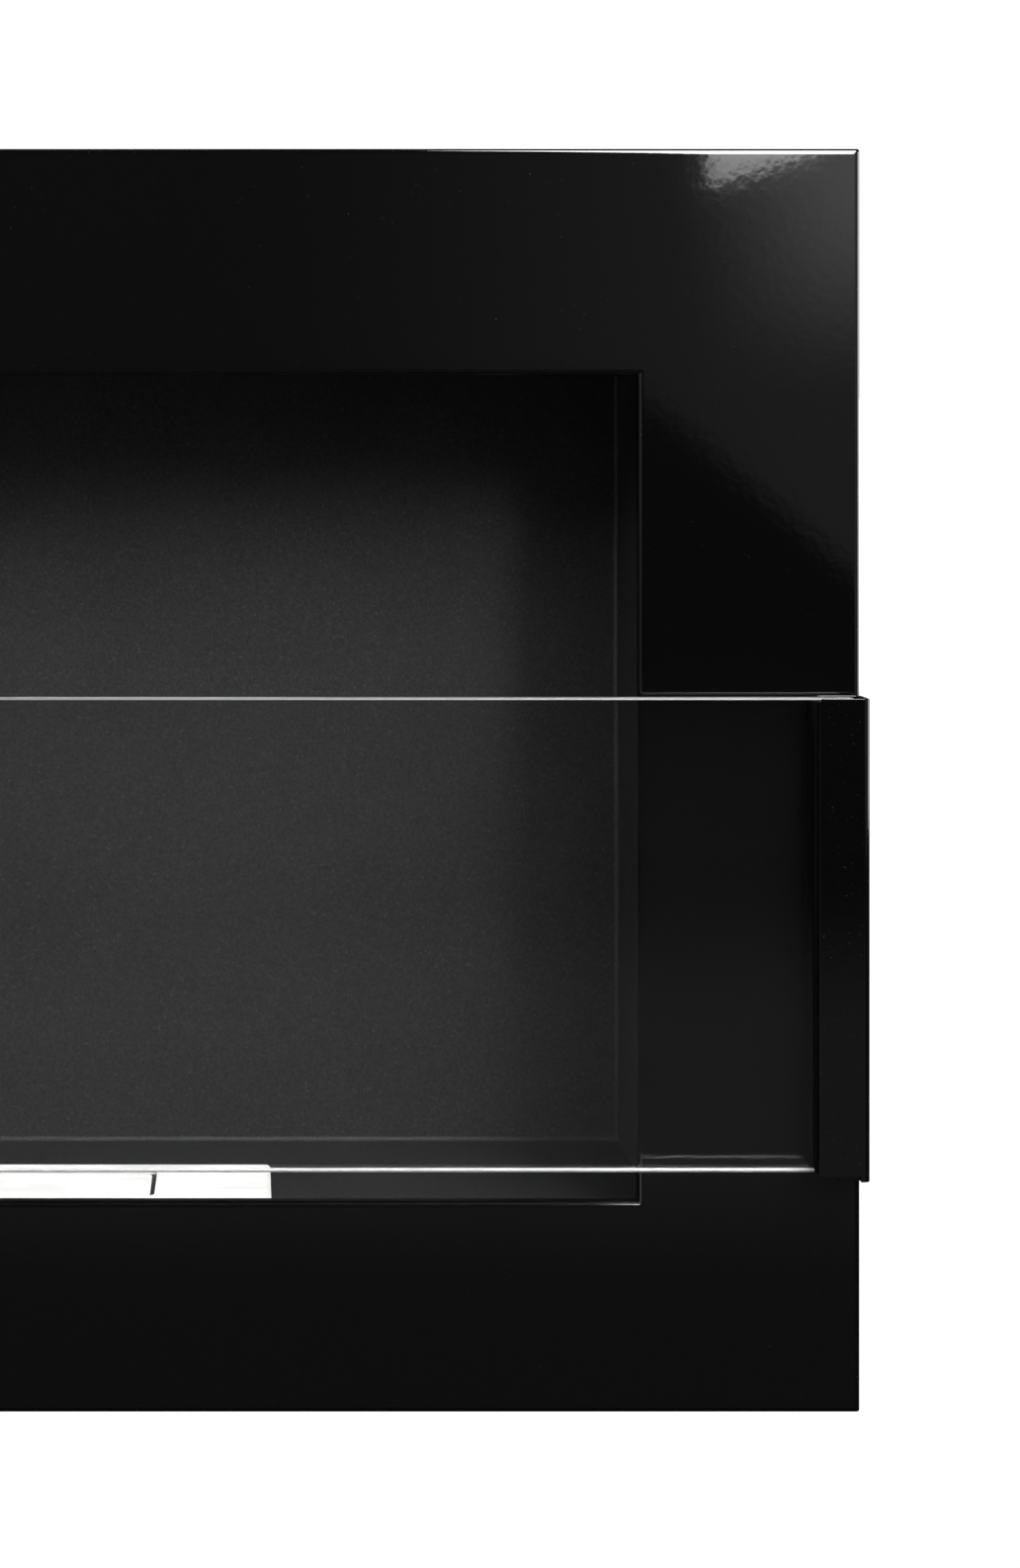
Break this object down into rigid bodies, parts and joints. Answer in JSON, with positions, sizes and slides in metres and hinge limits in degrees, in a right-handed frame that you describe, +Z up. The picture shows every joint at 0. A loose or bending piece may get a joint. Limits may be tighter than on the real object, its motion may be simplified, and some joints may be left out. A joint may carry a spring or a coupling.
{
  "type": "bioethanol wall fireplace",
  "caption": "Wall-hung black steel fireplace box with a recessed firebox, a drop-in slot burner with a lid, and a low clear glass guard in front.",
  "frame": {"origin": "middle of the wall rail's rear face, on the wall plane", "axes": "+X along the width to the viewer's right, +Y into the wall, +Z up"},
  "size_m": [0.65, 0.1535, 0.4],
  "materials": {
    "gloss_black_paint": "high gloss black powder coat on 1.5 mm steel sheet",
    "texture_black_paint": "matt black heat-resistant paint with a fine sandy texture",
    "stainless_steel": "brushed stainless steel",
    "zinc_plate": "zinc-coated steel sheet with faint spangle",
    "fastener_steel": "bright zinc-plated steel fasteners",
    "black_rubber": "matt black silicone rubber",
    "ceramic_wool": "white ceramic fibre wool",
    "clear_glass": "clear 5 mm toughened glass with polished edges"
  },
  "bodies": {
    "rail": {"wall_rail": "zinc_plate"},
    "housing": {"front_frame": "gloss_black_paint", "firebox_shell": "texture_black_paint", "burner_well": "zinc_plate", "heat_shield": "zinc_plate", "floor_support_right": "zinc_plate", "floor_support_left": "zinc_plate", "firebox_nut_1": "fastener_steel", "firebox_nut_2": "fastener_steel", "firebox_nut_3": "fastener_steel", "firebox_nut_4": "fastener_steel", "firebox_nut_5": "fastener_steel", "firebox_nut_6": "fastener_steel", "firebox_nut_7": "fastener_steel", "firebox_nut_8": "fastener_steel", "rear_cover": "zinc_plate", "hanging_strip": "zinc_plate", "strip_rivet_1": "fastener_steel", "strip_rivet_2": "fastener_steel", "strip_rivet_3": "fastener_steel", "strip_rivet_4": "fastener_steel", "cover_screw_1": "fastener_steel", "cover_screw_2": "fastener_steel", "cover_screw_3": "fastener_steel", "cover_screw_4": "fastener_steel", "cover_screw_5": "fastener_steel", "cover_screw_6": "fastener_steel", "cover_screw_7": "fastener_steel", "cover_screw_8": "fastener_steel", "glass_bracket_right": "gloss_black_paint", "glass_bracket_left": "gloss_black_paint", "glass_gasket_right": "black_rubber", "glass_gasket_left": "black_rubber", "glass_rest_pad_right": "black_rubber", "glass_rest_pad_left": "black_rubber", "bracket_nut_right_1": "fastener_steel", "bracket_nut_right_2": "fastener_steel", "bracket_nut_left_1": "fastener_steel", "bracket_nut_left_2": "fastener_steel", "wall_bumper_right": "black_rubber", "wall_bumper_left": "black_rubber"},
    "glass": {"glass_pane": "clear_glass"},
    "burner": {"burner_tank": "stainless_steel", "burner_top_plate": "stainless_steel", "ceramic_wool_pad": "ceramic_wool", "wool_mesh": "stainless_steel"},
    "lid": {"lid_plate": "stainless_steel", "lid_handle": "stainless_steel"}
  },
  "joints": [
    {"name": "housing_lift", "type": "slide", "parent": "rail", "child": "housing", "axis": [0, 0, 1], "range_m": [0, 0.014]},
    {"name": "glass_lift", "type": "slide", "parent": "housing", "child": "glass", "axis": [0, 0, 1], "range_m": [0, 0.15]},
    {"name": "burner_lift", "type": "slide", "parent": "housing", "child": "burner", "axis": [0, 0, 1], "range_m": [0, 0.05]},
    {"name": "lid_lift", "type": "slide", "parent": "burner", "child": "lid", "axis": [0, 0, 1], "range_m": [0, 0.08]}
  ]
}
